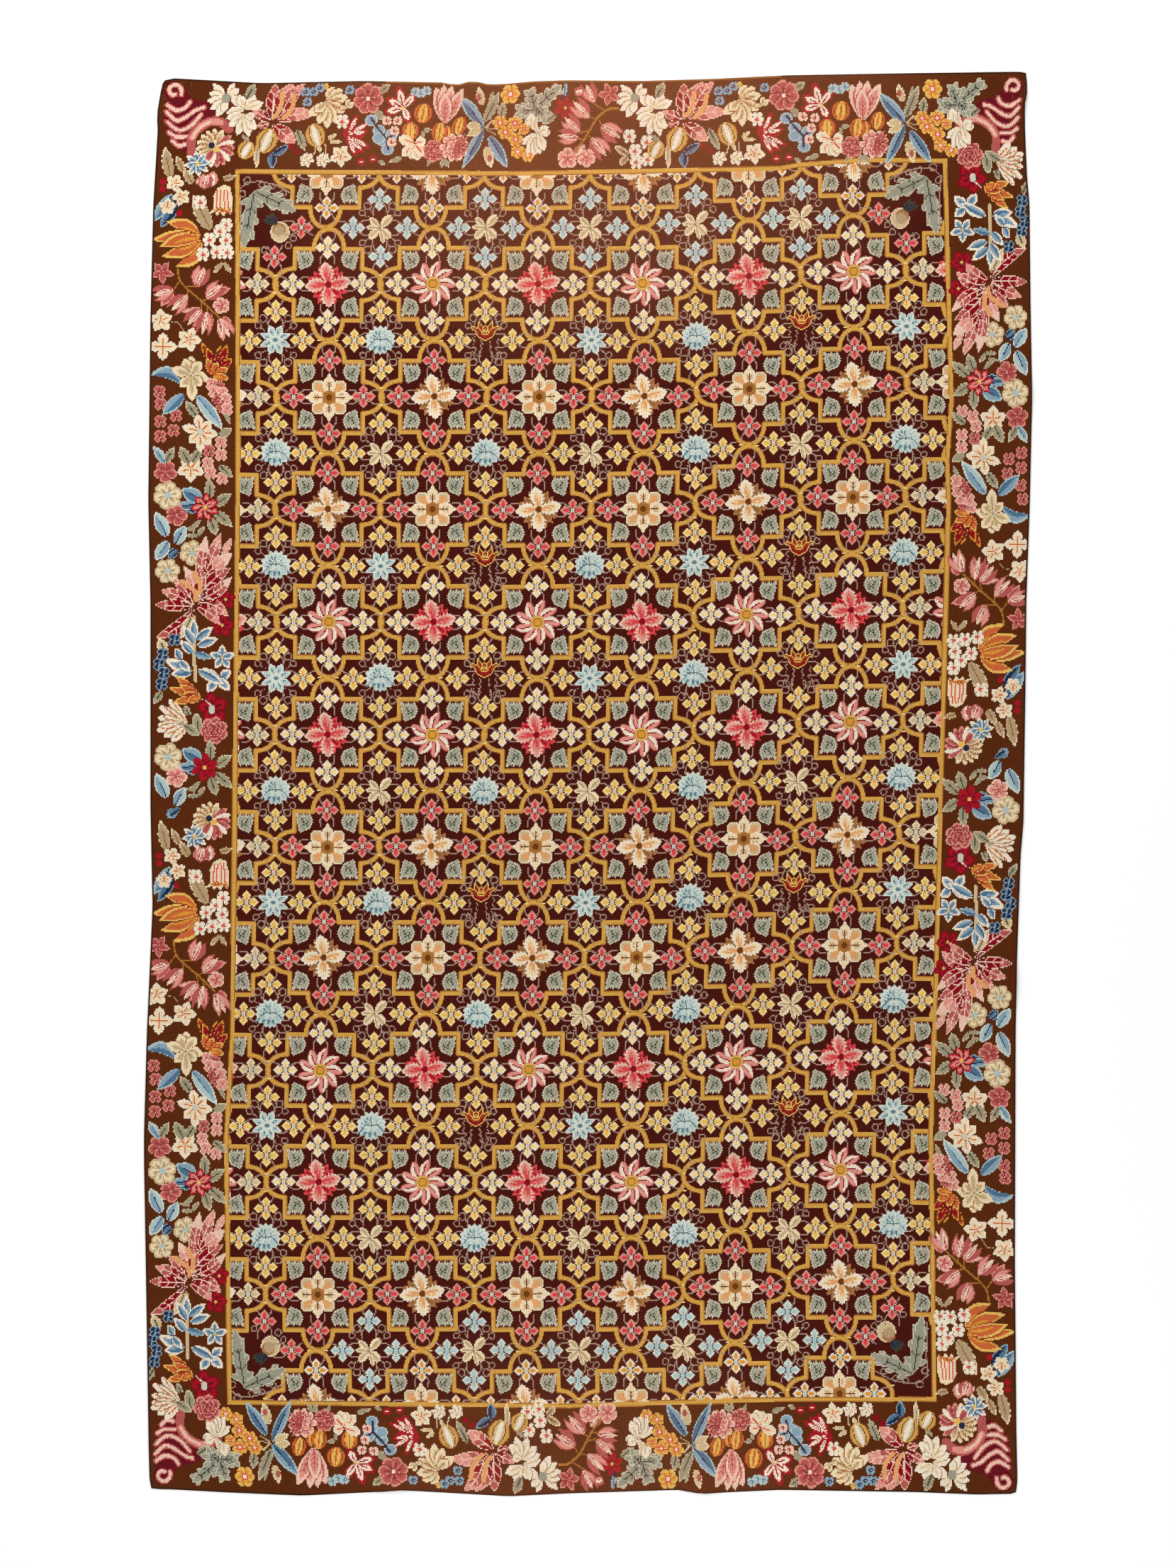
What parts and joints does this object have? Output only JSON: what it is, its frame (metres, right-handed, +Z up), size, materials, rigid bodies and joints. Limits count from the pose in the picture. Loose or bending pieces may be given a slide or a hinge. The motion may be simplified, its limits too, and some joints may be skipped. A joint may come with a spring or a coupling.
{
  "type": "needlepoint rug",
  "caption": "Large flat needlepoint rug with an all-over lattice of flowers, a thin gold guard stripe and a wide brown floral border.",
  "frame": {"origin": "middle of the rug's bounding box, on the floor that it lies on", "axes": "+Y along the rug's length towards its top border, +X towards its right border seen from above, +Z up"},
  "size_m": [2.5012, 4.0136, 0.0169],
  "materials": {
    "wool_needlepoint": "matte wool tent stitches in many colours on a brown and maroon ground"
  },
  "bodies": {
    "root": {"rug_cloth": "wool_needlepoint"}
  },
  "joints": []
}
